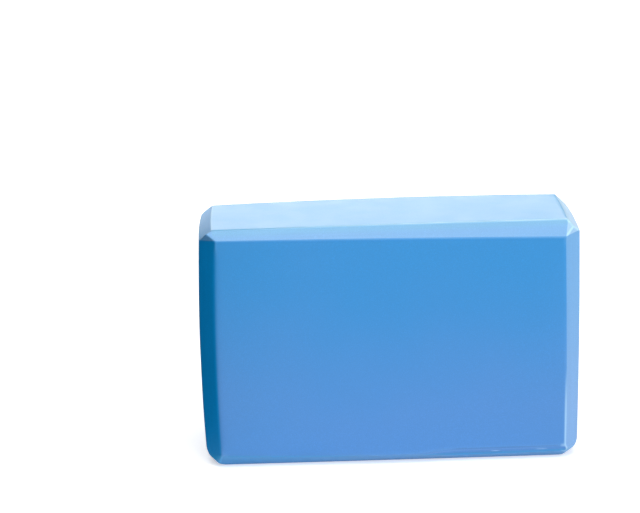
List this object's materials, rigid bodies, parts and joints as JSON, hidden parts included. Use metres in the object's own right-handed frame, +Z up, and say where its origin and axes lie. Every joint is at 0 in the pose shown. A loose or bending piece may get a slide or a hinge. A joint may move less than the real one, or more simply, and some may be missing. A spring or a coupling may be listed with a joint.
{
  "type": "foam block",
  "caption": "Solid foam exercise block with every edge skived off at a slant and softly rounded arrises.",
  "frame": {"origin": "centre of the underside, on the long narrow side that the block stands on", "axes": "+X along the length, +Y through the thickness with the front large face towards -Y, +Z up"},
  "size_m": [0.23, 0.076, 0.152],
  "materials": {
    "foam": "matte closed-cell foam with a fine cut grain"
  },
  "bodies": {
    "root": {"foam_block": "foam"}
  },
  "joints": []
}
